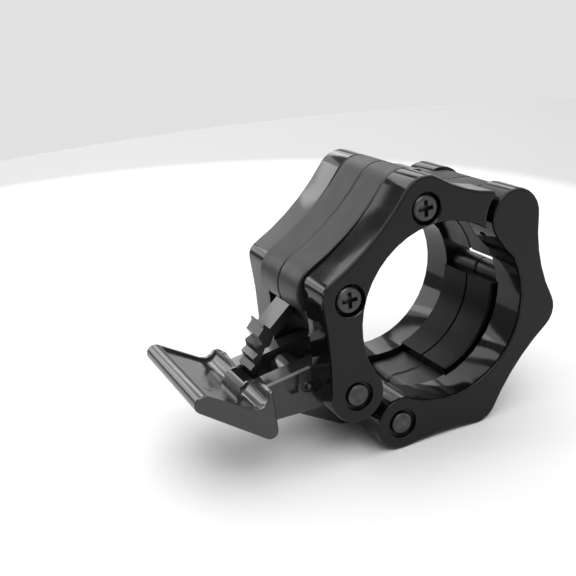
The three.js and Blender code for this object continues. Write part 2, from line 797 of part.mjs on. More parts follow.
// Grooves across the ribbed face, inside a plain frame
function thumbRibGrooves() {
  const start = ribFaceStart();
  const pitch = (thumbFaceLength - 2 * ribFrame) / ribCount;
  const grooves = [];
  for (let i = 0; i <= ribCount; i += 1) {
    const groove = box(
      ribGrooveWidth,
      2 * (thumbHalfWidth - ribFrame),
      ribGrooveDepth + cutOverrun,
      ribFrame + i * pitch,
      0,
      (cutOverrun - ribGrooveDepth) / 2,
    );
    grooves.push(groove.rotate([0, -thumbFaceAngle, 0]).translate([start.x, 0, start.y]));
  }
  return grooves;
}

// The window for the latch: its edge is a thin catch, with room for the lip on its outer side
function leverWindow() {
  const reach = 2 * leverHubRadius + thumbHeelOuter;
  const catchOuter = -windowCatchInner;
  const catchInner = -windowCatchInner - windowCatchThickness;
  const outline = [
    new THREE.Vector2(0, -reach),
    new THREE.Vector2(windowReach + windowCatchThickness, -reach),
    new THREE.Vector2(windowReach + windowCatchThickness, catchInner - windowCatchThickness),
    new THREE.Vector2(windowReach, catchInner),
    new THREE.Vector2(windowReach, catchOuter),
    new THREE.Vector2(latchLipRadius + windowCatchRoom, catchOuter),
    new THREE.Vector2(latchLipRadius + windowCatchRoom, reach),
    new THREE.Vector2(0, reach),
  ];
  return slabSolid(outline, -leverSlotWidth / 2, leverSlotWidth / 2);
}

function armPocket() {
  const outline = [
    new THREE.Vector2(armPocketNear, -armPocketInner),
    new THREE.Vector2(armPocketFar, -armPocketFarInner),
    new THREE.Vector2(armPocketLow, -armPocketOuter),
    new THREE.Vector2(armPocketStep, -armPocketOuter),
  ];
  return slabSolid(outline, -leverHalfWidth - cutOverrun, armPocketDepth - leverHalfWidth);
}

function lever() {
  const arm = leverArm();
  let solid = slabSolid(thumbOutline(), -thumbHalfWidth, thumbHalfWidth, thumbEdgeRound);
  solid = solid.subtract(thumbPan()).subtract(thumbSaddle());
  solid = solid.add(arm).add(arm.mirror([0, 1, 0]));
  thumbRibGrooves().forEach((groove) => {
    solid = solid.subtract(groove);
  });
  const pocket = armPocket();
  const crank = polar(crankRadius, -leverTiltAngle);
  const half = leverHalfWidth + cutOverrun;
  return solid
    .subtract(leverWindow())
    .subtract(pocket)
    .subtract(pocket.mirror([0, 1, 0]))
    .subtract(bar(new THREE.Vector2(), pinRadius + runningGap, -half, half))
    .subtract(bar(crank, togglePinRadius + runningGap, -half, half));
}

// Release latch drawn at rest in the front view: a lip on a thick block, then a comb of teeth
function latchHeadOutline() {
  const pitch = (latchTeethEndAngle - latchTeethStartAngle) / latchToothCount;
  const rootRadius = latchToothRadius - latchToothDepth;
  const blockInner = latchToothRadius - latchHeadThickness;
  const combInner = rootRadius - latchCombThickness;
  const points = [
    fromLever(latchLipRadius - latchLipThickness, latchHeadStartAngle),
    fromLever(latchLipRadius, latchHeadStartAngle),
    fromLever(latchLipRadius, latchLipCrestAngle),
    fromLever(latchBlockRadius, latchLipRootAngle),
    fromLever(latchBlockRadius, latchBlockEndAngle),
    fromLever(rootRadius, latchTeethStartAngle),
  ];
  for (let i = 0; i < latchToothCount; i += 1) {
    const start = latchTeethStartAngle + i * pitch;
    points.push(fromLever(latchToothRadius, start + pitch * latchToothShare));
    points.push(fromLever(rootRadius, start + pitch));
  }
  points.push(fromLever(rootRadius, latchTipEndAngle));
  points.push(fromLever(combInner, latchTipEndAngle));
  points.push(fromLever(combInner, (latchCombStartAngle + latchTipEndAngle) / 2));
  points.push(fromLever(combInner, latchCombStartAngle));
  points.push(fromLever(blockInner, latchTeethStartAngle));
  points.push(fromLever(blockInner, latchBlockEndAngle));
  return points;
}

function latch() {
  const pivot = latchPoint();
  const half = latchWidth / 2;
  const head = slabSolid(latchHeadOutline(), -half, half);
  const stripTop = latchStripThickness - latchEyeRadius;
  const stripLength = pivot.distanceTo(latchStripEnd());
  const stripAngle = angleFrom(pivot, latchStripEnd());
  const strip = beam(pivot, stripAngle, stripLength, stripTop, -latchEyeRadius, half);
  const eye = bar(pivot, latchEyeRadius, -half, half);
  const hole = bar(pivot, latchPinRadius + runningGap, -half - cutOverrun, half + cutOverrun);
  return eye.add(strip).add(head).subtract(hole);
}

// The latch spring as one coiled wire
function latchSpring() {
  const pivot = latchPoint();
  const points = [];
  const count = springTurns * springStepsPerTurn;
  const place = (radius, turn, depth) => {
    const spot = pivot.clone().add(polar(radius, turn));
    return new THREE.Vector3(spot.x, depth, spot.y);
  };
  for (let i = 0; i <= count; i += 1) {
    const turn = latchPivotAngle + (fullTurnAngle * i) / springStepsPerTurn;
    points.push(place(springCoilRadius, turn, springStart + (springPitch * i) / springStepsPerTurn));
  }
  const path = new THREE.CatmullRomCurve3(points);
  const corners = [];
  for (let i = 0; i < springWireSides; i += 1) {
    corners.push(polar(springWireRadius, (fullTurnAngle * i) / springWireSides));
  }
  const section = new THREE.Shape(corners);
  const geometry = new THREE.ExtrudeGeometry(section, {
    steps: count,
    bevelEnabled: false,
    extrudePath: path,
  });
  return toSolid(geometry);
}

function materialOf(colour, roughness, metalness) {
  return () => new THREE.MeshStandardMaterial({ color: colour, roughness, metalness });
}

const glossBlack = materialOf(0x141516, 0.3, 0);
const satinBlack = materialOf(0x232425, 0.55, 0);
const padRubber = materialOf(0x17181a, 0.8, 0);
const blackSteel = materialOf(0x26272a, 0.4, 0.8);

function piece(name, solid, material) {
  const mesh = new THREE.Mesh(toGeometry(solid), material());
  mesh.name = name;
  return mesh;
}

const collar = new THREE.Group();
const rightJaw = new THREE.Group();
const rightJawHeld = new THREE.Group();
rightJaw.position.set(hingePoint.x, 0, hingePoint.y);
rightJaw.rotation.y = -jawOpenAngle * degree;
rightJawHeld.position.set(-hingePoint.x, 0, -hingePoint.y);
rightJaw.add(rightJawHeld);

const pinHalf = overallWidth / 2 - pinRecess;
const hingePinHalf = overallWidth / 2 - hingePinCover - seam;
collar.add(piece('left_front_plate', leftPlate(false), glossBlack));
collar.add(piece('left_rear_plate', leftPlate(true), glossBlack));
collar.add(piece('left_middle_front', leftMiddle(false), satinBlack));
collar.add(piece('left_middle_rear', leftMiddle(true), satinBlack));
collar.add(piece('left_pad', pad(leftPadStartAngle, leftPadEndAngle), padRubber));
collar.add(piece('left_screw_lower', screw(screwPoint(leftScrewAngles[0]), false), blackSteel));
collar.add(piece('left_screw_upper', screw(screwPoint(leftScrewAngles[1]), false), blackSteel));
collar.add(piece('hinge_pin', pin(hingePoint, hingePinRadius, hingePinHalf), blackSteel));
collar.add(piece('lever_pin', pin(leverPoint, pinRadius, pinHalf), blackSteel));
collar.add(piece('release_latch', latch(), glossBlack));
collar.add(piece('latch_pin', pin(latchPoint(), latchPinRadius, latchPinHalf), blackSteel));
collar.add(piece('latch_spring', latchSpring(), blackSteel));

rightJawHeld.add(piece('right_front_plate', rightPlate(false), glossBlack));
rightJawHeld.add(piece('right_rear_plate', rightPlate(true), glossBlack));
rightJawHeld.add(piece('right_middle_front', rightMiddle(false), satinBlack));
rightJawHeld.add(piece('right_middle_rear', rightMiddle(true), satinBlack));
rightJawHeld.add(piece('right_pad', pad(rightPadStartAngle, rightPadEndAngle), padRubber));
rightJawHeld.add(piece('right_screw_side', screw(screwPoint(rightScrewAngles[0]), true), blackSteel));
rightJawHeld.add(piece('right_screw_foot', screw(screwPoint(rightScrewAngles[1]), true), blackSteel));
rightJawHeld.add(piece('link_pin', pin(linkPointClosed, pinRadius, pinHalf), blackSteel));

const linkMesh = piece('link', link(), glossBlack);
linkMesh.position.set(linkPoint.x, 0, linkPoint.y);
linkMesh.rotation.y = -angleFrom(linkPoint, togglePoint) * degree;
collar.add(linkMesh);

const leverGroup = new THREE.Group();
leverGroup.position.set(leverPoint.x, 0, leverPoint.y);
leverGroup.rotation.y = -(crankAngle + leverTiltAngle) * degree;
leverGroup.add(piece('lever', lever(), glossBlack));
const togglePin = pin(polar(crankRadius, -leverTiltAngle), togglePinRadius, leverHalfWidth);
leverGroup.add(piece('toggle_pin', togglePin, blackSteel));
collar.add(leverGroup);
collar.add(rightJaw);

export default collar;
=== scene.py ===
import bpy
import bmesh
import math
from mathutils import Matrix, Vector


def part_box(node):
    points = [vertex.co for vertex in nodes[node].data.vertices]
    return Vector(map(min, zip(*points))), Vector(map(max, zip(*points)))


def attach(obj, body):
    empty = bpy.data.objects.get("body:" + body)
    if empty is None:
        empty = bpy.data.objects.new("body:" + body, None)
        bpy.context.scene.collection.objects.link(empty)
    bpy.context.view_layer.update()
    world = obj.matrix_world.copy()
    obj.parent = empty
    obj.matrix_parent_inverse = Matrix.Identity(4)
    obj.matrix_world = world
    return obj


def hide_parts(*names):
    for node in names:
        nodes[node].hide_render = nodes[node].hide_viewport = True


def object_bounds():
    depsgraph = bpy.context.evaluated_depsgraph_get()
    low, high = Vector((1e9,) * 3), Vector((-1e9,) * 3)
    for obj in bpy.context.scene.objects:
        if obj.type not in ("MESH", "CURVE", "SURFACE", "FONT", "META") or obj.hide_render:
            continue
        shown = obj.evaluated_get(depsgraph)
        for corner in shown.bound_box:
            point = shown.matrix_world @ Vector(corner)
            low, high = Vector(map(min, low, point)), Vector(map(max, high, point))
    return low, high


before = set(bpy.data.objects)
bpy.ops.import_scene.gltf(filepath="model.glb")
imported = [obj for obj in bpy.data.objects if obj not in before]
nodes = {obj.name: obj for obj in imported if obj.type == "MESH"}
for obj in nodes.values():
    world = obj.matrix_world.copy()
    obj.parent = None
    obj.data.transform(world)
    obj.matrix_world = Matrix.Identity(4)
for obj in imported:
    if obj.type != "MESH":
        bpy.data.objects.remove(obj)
cadLow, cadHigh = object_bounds()
mm = 0.001
print("frame loaded,", len(nodes), "nodes")


# camera at the photograph's place, matched to the outline of the collar
cameraFit = {
    "place": Vector((-0.1370, -0.2350, 0.1008)),
    "right": Vector((0.9008, -0.4234, -0.0963)),
    "forward": Vector((0.3703, 0.8649, -0.3389)),
    "lensMm": 58.86,
    "sensorMm": 36,
    "clipStart": 0.01,
}


def placeCamera():
    forward = cameraFit["forward"].normalized()
    right = (cameraFit["right"] - forward * cameraFit["right"].dot(forward)).normalized()
    up = right.cross(forward)
    turn = Matrix((right, up, -forward)).transposed()
    data = bpy.data.cameras.new("photoCamera")
    data.lens = cameraFit["lensMm"]
    data.sensor_width = cameraFit["sensorMm"]
    data.clip_start = cameraFit["clipStart"]
    camera = bpy.data.objects.new("photoCamera", data)
    camera.matrix_world = Matrix.Translation(cameraFit["place"]) @ turn.to_4x4()
    bpy.context.scene.collection.objects.link(camera)
    bpy.context.scene.camera = camera


placeCamera()
print("camera placed")


# node helpers for the finishes
def newMaterial(name):
    material = bpy.data.materials.new(name)
    material.use_nodes = True
    tree = material.node_tree
    return material, tree, tree.nodes["Principled BSDF"]


def objectCoords(tree, scale=(1, 1, 1), location=(0, 0, 0)):
    coords = tree.nodes.new("ShaderNodeTexCoord")
    mapping = tree.nodes.new("ShaderNodeMapping")
    mapping.inputs["Scale"].default_value = scale
    mapping.inputs["Location"].default_value = location
    tree.links.new(coords.outputs["Object"], mapping.inputs["Vector"])
    return mapping.outputs["Vector"]


def noise(tree, vector, scale, detail, coarseness=0.55):
    texture = tree.nodes.new("ShaderNodeTexNoise")
    texture.inputs["Scale"].default_value = scale
    texture.inputs["Detail"].default_value = detail
    texture.inputs["Roughness"].default_value = coarseness
    tree.links.new(vector, texture.inputs["Vector"])
    return texture.outputs["Fac"]


def spread(tree, value, low, high, newLow, newHigh):
    ranger = tree.nodes.new("ShaderNodeMapRange")
    ranger.inputs["From Min"].default_value = low
    ranger.inputs["From Max"].default_value = high
    ranger.inputs["To Min"].default_value = newLow
    ranger.inputs["To Max"].default_value = newHigh
    tree.links.new(value, ranger.inputs["Value"])
    return ranger.outputs["Result"]


def sums(tree, kind, first, second):
    node = tree.nodes.new("ShaderNodeMath")
    node.operation = kind
    for socket, value in ((node.inputs[0], first), (node.inputs[1], second)):
        if isinstance(value, (int, float)):
            socket.default_value = value
        else:
            tree.links.new(value, socket)
    return node.outputs["Value"]


def colourBetween(tree, factor, dark, light):
    # a colour mix keeps its colours in inputs 6 and 7, and its result in output 2
    mixer = tree.nodes.new("ShaderNodeMix")
    mixer.data_type = "RGBA"
    mixer.inputs[6].default_value = (*dark, 1)
    mixer.inputs[7].default_value = (*light, 1)
    tree.links.new(factor, mixer.inputs[0])
    return mixer.outputs[2]


def bumps(tree, shader, layers):
    normal = None
    for height, distance, strength in layers:
        bump = tree.nodes.new("ShaderNodeBump")
        bump.inputs["Distance"].default_value = distance
        bump.inputs["Strength"].default_value = strength
        tree.links.new(height, bump.inputs["Height"])
        if normal is not None:
            tree.links.new(normal, bump.inputs["Normal"])
        normal = bump.outputs["Normal"]
    tree.links.new(normal, shader.inputs["Normal"])


# how squarely a surface faces the front or rear before it counts as a flat face
flatFace = {"from": 0.9, "to": 0.99}


def flatFaceMask(tree, s=flatFace):
    # 1 on the flat front and rear faces, 0 on the walls round them
    coords = tree.nodes.new("ShaderNodeTexCoord")
    split = tree.nodes.new("ShaderNodeSeparateXYZ")
    tree.links.new(coords.outputs["Normal"], split.inputs["Vector"])
    depth = sums(tree, "ABSOLUTE", split.outputs["Y"], 0)
    return spread(tree, depth, s["from"], s["to"], 0, 1)


# moulded glass-filled nylon: fine satin texture on the flat faces, polished walls
mouldedNylon = {
    "dark": (0.005, 0.005, 0.005),
    "light": (0.010, 0.010, 0.0105),
    "faceRoughness": (0.32, 0.42),
    "wallRoughness": (0.05, 0.10),
    "ior": 1.42,
    "grainScale": 2600,
    "waveScale": 130,
    "scuffScale": 90,
}


# the lever and link use the same nylon with a lighter base colour, a painted sheen standing in for the
# floor's reflection on the thumb plate and arms
leverPaintedSheenNylon = {
    "dark": (0.025, 0.025, 0.0255),
    "light": (0.042, 0.042, 0.043),
    "faceRoughness": (0.22, 0.32),
    "wallRoughness": (0.11, 0.18),
    "ior": 1.62,
    "grainScale": 2900,
    "waveScale": 110,
    "scuffScale": 120,
}


# what both shots of the nylon share
nylonSurface = {
    "waveDetail": 3,
    "grainDetail": 5,
    "scuffDetail": 8,
    "scuffStretch": (1, 1, 14),
    "scuffCoarseness": 0.7,
    "scuffBand": (0.62, 0.72),
    "waveBand": (0.3, 0.7),
    "waveShare": 0.7,
    "scuffShare": 0.3,
    "scuffDulls": 0.06,
    "wallGrain": 0.15,
    "waveBumpMm": 0.05,
    "waveBumpStrength": 0.25,
    "grainBumpMm": 0.012,
    "grainBumpStrength": 0.5,
}


def mouldedNylonFinish(name, s=mouldedNylon, n=nylonSurface):
    material, tree, shader = newMaterial(name)
    coords = objectCoords(tree)
    broad = noise(tree, coords, s["waveScale"], n["waveDetail"])
    grain = noise(tree, coords, s["grainScale"], n["grainDetail"])
    streaked = objectCoords(tree, n["scuffStretch"])
    scuffs = noise(tree, streaked, s["scuffScale"], n["scuffDetail"], n["scuffCoarseness"])
    scuffMask = spread(tree, scuffs, *n["scuffBand"], 0, 1)
    face = flatFaceMask(tree)
    wavePart = sums(tree, "MULTIPLY", broad, n["waveShare"])
    scuffPart = sums(tree, "MULTIPLY", scuffMask, n["scuffShare"])
    shade = sums(tree, "ADD", wavePart, scuffPart)
    tree.links.new(colourBetween(tree, shade, s["dark"], s["light"]), shader.inputs["Base Color"])
    faceRough = spread(tree, broad, *n["waveBand"], *s["faceRoughness"])
    wallRough = spread(tree, broad, *n["waveBand"], *s["wallRoughness"])
    faceShare = sums(tree, "MULTIPLY", face, faceRough)
    wallShare = sums(tree, "MULTIPLY", sums(tree, "SUBTRACT", 1, face), wallRough)
    rough = sums(tree, "ADD", faceShare, wallShare)
    rough = sums(tree, "ADD", rough, sums(tree, "MULTIPLY", scuffMask, n["scuffDulls"]))
    tree.links.new(rough, shader.inputs["Roughness"])
    shader.inputs["IOR"].default_value = s["ior"]
    faceGrain = sums(tree, "MULTIPLY", face, 1 - n["wallGrain"])
    texture = sums(tree, "MULTIPLY", grain, sums(tree, "ADD", faceGrain, n["wallGrain"]))
    bumps(tree, shader, [
        (broad, n["waveBumpMm"] * mm, n["waveBumpStrength"]),
        (texture, n["grainBumpMm"] * mm, n["grainBumpStrength"]),
    ])
    return material


# the middle mouldings are duller, with the same grain on every side
satinNylon = {
    "dark": (0.005, 0.005, 0.005),
    "light": (0.011, 0.011, 0.011),
    "roughness": (0.34, 0.46),
    "ior": 1.56,
    "grainScale": 3200,
    "waveScale": 160,
    "flowScale": 60,
    "grainDetail": 6,
    "waveDetail": 4,
    "flowDetail": 5,
    "flowStretch": (1, 6, 1),
    "waveBand": (0.3, 0.7),
    "waveBumpMm": 0.04,
    "waveBumpStrength": 0.3,
    "grainBumpMm": 0.015,
    "grainBumpStrength": 0.6,
}


def satinNylonFinish(name, s=satinNylon):
    material, tree, shader = newMaterial(name)
    coords = objectCoords(tree)
    broad = noise(tree, coords, s["waveScale"], s["waveDetail"])
    grain = noise(tree, coords, s["grainScale"], s["grainDetail"])
    flow = noise(tree, objectCoords(tree, s["flowStretch"]), s["flowScale"], s["flowDetail"])
    shade = sums(tree, "MULTIPLY", sums(tree, "ADD", broad, flow), 0.5)  # the mean of the two
    tree.links.new(colourBetween(tree, shade, s["dark"], s["light"]), shader.inputs["Base Color"])
    tree.links.new(spread(tree, broad, *s["waveBand"], *s["roughness"]), shader.inputs["Roughness"])
    shader.inputs["IOR"].default_value = s["ior"]
    bumps(tree, shader, [
        (broad, s["waveBumpMm"] * mm, s["waveBumpStrength"]),
        (grain, s["grainBumpMm"] * mm, s["grainBumpStrength"]),
    ])
    return material


# grip rubber: dull, faintly pitted, a little dust
gripRubber = {
    "dark": (0.002, 0.002, 0.002),
    "dusty": (0.006, 0.006, 0.006),
    "roughness": (0.30, 0.42),
    "shine": 0.15,
    "pitScale": 1500,
    "dustScale": 220,
    "dustDetail": 6,
    "dustCoarseness": 0.65,
    "dustBand": (0.45, 0.75),
    "roughBand": (0.3, 0.7),
    "dustBumpMm": 0.03,
    "dustBumpStrength": 0.3,
    "pitBumpMm": 0.02,
    "pitBumpStrength": 0.4,
}


def gripRubberFinish(name, s=gripRubber):
    material, tree, shader = newMaterial(name)
    coords = objectCoords(tree)
    pits = tree.nodes.new("ShaderNodeTexVoronoi")
    pits.inputs["Scale"].default_value = s["pitScale"]
    tree.links.new(coords, pits.inputs["Vector"])
    dust = noise(tree, coords, s["dustScale"], s["dustDetail"], s["dustCoarseness"])
    dustMask = spread(tree, dust, *s["dustBand"], 0, 1)
    tree.links.new(colourBetween(tree, dustMask, s["dark"], s["dusty"]), shader.inputs["Base Color"])
    tree.links.new(spread(tree, dust, *s["roughBand"], *s["roughness"]), shader.inputs["Roughness"])
    shader.inputs["Specular IOR Level"].default_value = s["shine"]
    bumps(tree, shader, [
        (dust, s["dustBumpMm"] * mm, s["dustBumpStrength"]),
        (pits.outputs["Distance"], s["pitBumpMm"] * mm, s["pitBumpStrength"]),
    ])
    return material


# black-oxide steel with turned rings round its own axis
blackSteel = {
    "dark": (0.080, 0.080, 0.081),
    "worn": (0.130, 0.129, 0.126),
    "roughness": (0.26, 0.42),
    "metallic": 0.85,
    "ringScale": 900,
    "ringWobble": 0.6,
    "ringDulls": 0.05,
    "wearScale": 380,
    "wearDetail": 7,
    "wearCoarseness": 0.65,
    "wearBand": (0.52, 0.7),
    "roughBand": (0.3, 0.7),
    "ringBumpMm": 0.01,
    "ringBumpStrength": 0.35,
    "wearBumpMm": 0.02,
    "wearBumpStrength": 0.3,
}


def blackSteelFinish(name, axisPoint, s=blackSteel):
    material, tree, shader = newMaterial(name)
    centred = objectCoords(tree, (1, 0, 1), (-axisPoint.x, 0, -axisPoint.z))
    rings = tree.nodes.new("ShaderNodeTexWave")
    rings.wave_type = "RINGS"
    rings.rings_direction = "SPHERICAL"
    rings.inputs["Scale"].default_value = s["ringScale"]
    rings.inputs["Distortion"].default_value = s["ringWobble"]
    tree.links.new(centred, rings.inputs["Vector"])
    wear = noise(tree, objectCoords(tree), s["wearScale"], s["wearDetail"], s["wearCoarseness"])
    wearMask = spread(tree, wear, *s["wearBand"], 0, 1)
    tree.links.new(colourBetween(tree, wearMask, s["dark"], s["worn"]), shader.inputs["Base Color"])
    rough = spread(tree, wear, *s["roughBand"], *s["roughness"])
    rough = sums(tree, "ADD", rough, sums(tree, "MULTIPLY", rings.outputs["Fac"], s["ringDulls"]))
    tree.links.new(rough, shader.inputs["Roughness"])
    shader.inputs["Metallic"].default_value = s["metallic"]
    bumps(tree, shader, [
        (rings.outputs["Fac"], s["ringBumpMm"] * mm, s["ringBumpStrength"]),
        (wear, s["wearBumpMm"] * mm, s["wearBumpStrength"]),
    ])
    return material


# CAD nodes keep their shape: welded, flats merged, edges eased, shaded smooth
edgeEase = {
    "weldMm": 0.004,
    "flatDegrees": 0.6,
    "sharpDegrees": 32,
    "segments": 2,
    "screwMm": 0.08,
}


def dressNode(name, material, easeMm, mergeFlats, s=edgeEase):
    node = nodes[name]
    node.data.materials.clear()
    node.data.materials.append(material)
    for polygon in node.data.polygons:
        polygon.use_smooth = True
    weld = node.modifiers.new("weld", "WELD")
    weld.merge_threshold = s["weldMm"] * mm
    if mergeFlats:
        planar = node.modifiers.new("planar", "DECIMATE")
        planar.decimate_type = "DISSOLVE"
        planar.angle_limit = math.radians(s["flatDegrees"])
    ease = node.modifiers.new("ease", "BEVEL")
    ease.width = easeMm * mm
    ease.segments = s["segments"]
    ease.limit_method = "ANGLE"
    ease.angle_limit = math.radians(s["sharpDegrees"])
    ease.use_clamp_overlap = True
    ease.miter_outer = "MITER_ARC"
    weighted = node.modifiers.new("weighted", "WEIGHTED_NORMAL")
    weighted.mode = "FACE_AREA_WITH_ANGLE"
    weighted.keep_sharp = True


plateFinish = mouldedNylonFinish("mouldedNylon")
# the lever's finish: its lighter base colour is painted sheen, not a different dye
leverPaintedSheenFinish = mouldedNylonFinish("leverPaintedSheenNylon", leverPaintedSheenNylon)
middleFinish = satinNylonFinish("satinNylon")
rubberFinish = gripRubberFinish("gripRubber")
print("nylon and rubber finishes made")

dressing = [
    # names, finish, ease in mm, whether the flats are merged (the lever's grooves would tear)
    (("left_front_plate", "left_rear_plate"), plateFinish, 0.18, True),
    (("right_front_plate", "right_rear_plate"), plateFinish, 0.18, True),
    (("left_middle_front", "left_middle_rear"), middleFinish, 0.12, True),
    (("right_middle_front", "right_middle_rear"), middleFinish, 0.12, True),
    (("lever",), leverPaintedSheenFinish, 0.15, False),
    (("link",), leverPaintedSheenFinish, 0.2, True),
    (("release_latch",), plateFinish, 0.15, True),
    (("left_pad", "right_pad"), rubberFinish, 0.12, True),
]
for names, finish, easeMm, mergeFlats in dressing:
    for name in names:
        dressNode(name, finish, easeMm, mergeFlats)
for name in ("left_screw_lower", "left_screw_upper", "right_screw_side", "right_screw_foot"):
    low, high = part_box(name)
    dressNode(name, blackSteelFinish(name + "Steel", (low + high) / 2), edgeEase["screwMm"], True)
print("frame nodes dressed")


mergeMm = 0.0005  # vertices of a new piece that are closer than this become one


def makePiece(name, bm, material, bodyName):
    bmesh.ops.remove_doubles(bm, verts=bm.verts, dist=mergeMm * mm)
    bmesh.ops.recalc_face_normals(bm, faces=bm.faces)
    mesh = bpy.data.meshes.new(name)
    bm.to_mesh(mesh)
    bm.free()
    for polygon in mesh.polygons:
        polygon.use_smooth = True
    mesh.materials.append(material)
    piece = bpy.data.objects.new(name, mesh)
    bpy.context.scene.collection.objects.link(piece)
    weighted = piece.modifiers.new("weighted", "WEIGHTED_NORMAL")
    weighted.mode = "FACE_AREA_WITH_ANGLE"
    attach(piece, bodyName)
    return piece


# turned pins: round, with a rolled rim and a shallow turned dish in each end
turnedPin = {
    "segments": 64,
    "rimMm": 0.42,
    "rimShareMax": 0.3,  # of the pin's radius
    # the rolled rim's corners, in shares of the rim: inward from the side, down from the end
    "rimArc": [(1, 0), (0.62, 0.08), (0.29, 0.29), (0.08, 0.62), (0, 1)],
    "dishShare": 0.55,
    "dishMm": 0.10,
    "centreMarkMm": 0.30,
    "centreMarkDepthMm": 0.15,
}
pinBodies = {
    "hinge_pin": "left_jaw",
    "lever_pin": "left_jaw",
    "latch_pin": "left_jaw",
    "link_pin": "right_jaw",
    "toggle_pin": "lever",
}


def turnPin(nodeName, bodyName, s=turnedPin):
    low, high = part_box(nodeName)
    centre = (low + high) / 2
    radius = (high.x - low.x) / 2
    half = (high.y - low.y) / 2
    rim = min(s["rimMm"] * mm, radius * s["rimShareMax"])
    dish = s["dishMm"] * mm
    end = [
        (0, half - dish - s["centreMarkDepthMm"] * mm),
        (s["centreMarkMm"] * mm, half - dish),
        (radius * s["dishShare"], half - dish),
        (radius * s["dishShare"] + dish, half),
    ]
    end += [(radius - rim * inward, half - rim * down) for inward, down in s["rimArc"]]
    profile = [(r, -y) for r, y in end] + [(r, y) for r, y in reversed(end)]
    bm = bmesh.new()
    verts = [bm.verts.new((centre.x + r, centre.y + y, centre.z)) for r, y in profile]
    edges = [bm.edges.new(pair) for pair in zip(verts, verts[1:])]
    bmesh.ops.spin(bm, geom=verts + edges, cent=centre, axis=(0, 1, 0),
                   angle=2 * math.pi, steps=s["segments"], use_merge=True)
    pin = makePiece(nodeName + "_turned", bm, blackSteelFinish(nodeName + "Steel", centre), bodyName)
    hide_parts(nodeName)


for name, bodyName in pinBodies.items():
    turnPin(name, bodyName)
print("pins turned")


# torsion spring of the latch: round wire wound beside the latch
latchCoil = {
    "wireMm": 0.4,
    "wireSides": 14,
    "turns": 3,
    "stepsPerTurn": 40,
    "pitchMm": 1.0,
}


def windSpring(s=latchCoil):
    low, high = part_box("latch_spring")
    pinLow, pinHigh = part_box("latch_pin")
    axis = (pinLow + pinHigh) / 2
    wire = s["wireMm"] * mm
    coil = (high.x - low.x) / 2 - wire
    start = Vector((axis.x, low.y + wire, axis.z))
    bm = bmesh.new()
    place = Matrix.Translation(start + Vector((coil, 0, 0)))
    bmesh.ops.create_circle(bm, cap_ends=False, segments=s["wireSides"], radius=wire, matrix=place)
    bmesh.ops.spin(bm, geom=bm.verts[:] + bm.edges[:], cent=start, axis=(0, 1, 0),
                   dvec=(0, s["pitchMm"] * mm / s["stepsPerTurn"], 0),
                   angle=2 * math.pi * s["turns"], steps=s["stepsPerTurn"] * s["turns"], use_merge=False)
    openEdges = [edge for edge in bm.edges if edge.is_boundary]
    bmesh.ops.holes_fill(bm, edges=openEdges, sides=s["wireSides"])
    spring = makePiece("latch_spring_coil", bm, blackSteelFinish("latchSpringSteel", axis), "left_jaw")
    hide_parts("latch_spring")


windSpring()
print("spring wound")


# small marks of the moulding: an ejector spot in the thumb pan, a stop boss in the bore
mouldMarks = {
    "segments": 32,
    "sunkMm": 0.2,
    "edgeShare": 0.6,  # of the height
    "edgeSegments": 3,
    "spots": [
        # name, body, place, outward, radius, height in mm
        ("thumb_spot", "lever", (-67.9, -10.9, -9.9), (0.52, 0, 0.85), 1.1, 0.10),
        ("bore_boss", "right_jaw", (19.6, -17.2, 16.5), (-0.84, 0, -0.54), 1.3, 0.45),
    ],
}


def mouldSpot(name, bodyName, place, outward, radiusMm, heightMm, s=mouldMarks):
    bm = bmesh.new()
    bmesh.ops.create_circle(bm, cap_ends=True, segments=s["segments"], radius=radiusMm * mm)
    bmesh.ops.translate(bm, verts=bm.verts, vec=(0, 0, -s["sunkMm"] * mm))
    lifted = bmesh.ops.extrude_face_region(bm, geom=bm.faces[:])
    topVerts = [item for item in lifted["geom"] if isinstance(item, bmesh.types.BMVert)]
    bmesh.ops.translate(bm, verts=topVerts, vec=(0, 0, (heightMm + s["sunkMm"]) * mm))
    top = [face for face in bm.faces if all(vert in topVerts for vert in face.verts)]
    rimEdges = [edge for face in top for edge in face.edges]
    bmesh.ops.bevel(bm, geom=rimEdges, offset=heightMm * s["edgeShare"] * mm, affect="EDGES",
                    segments=s["edgeSegments"], profile=0.5, material=-1)
    turn = Vector((0, 0, 1)).rotation_difference(Vector(outward).normalized()).to_matrix()
    bmesh.ops.rotate(bm, verts=bm.verts, cent=(0, 0, 0), matrix=turn)
    bmesh.ops.translate(bm, verts=bm.verts, vec=Vector(place) * mm)
    makePiece(name, bm, leverPaintedSheenFinish if bodyName == "lever" else plateFinish, bodyName)


for spot in mouldMarks["spots"]:
    mouldSpot(*spot)
print("mould marks made")
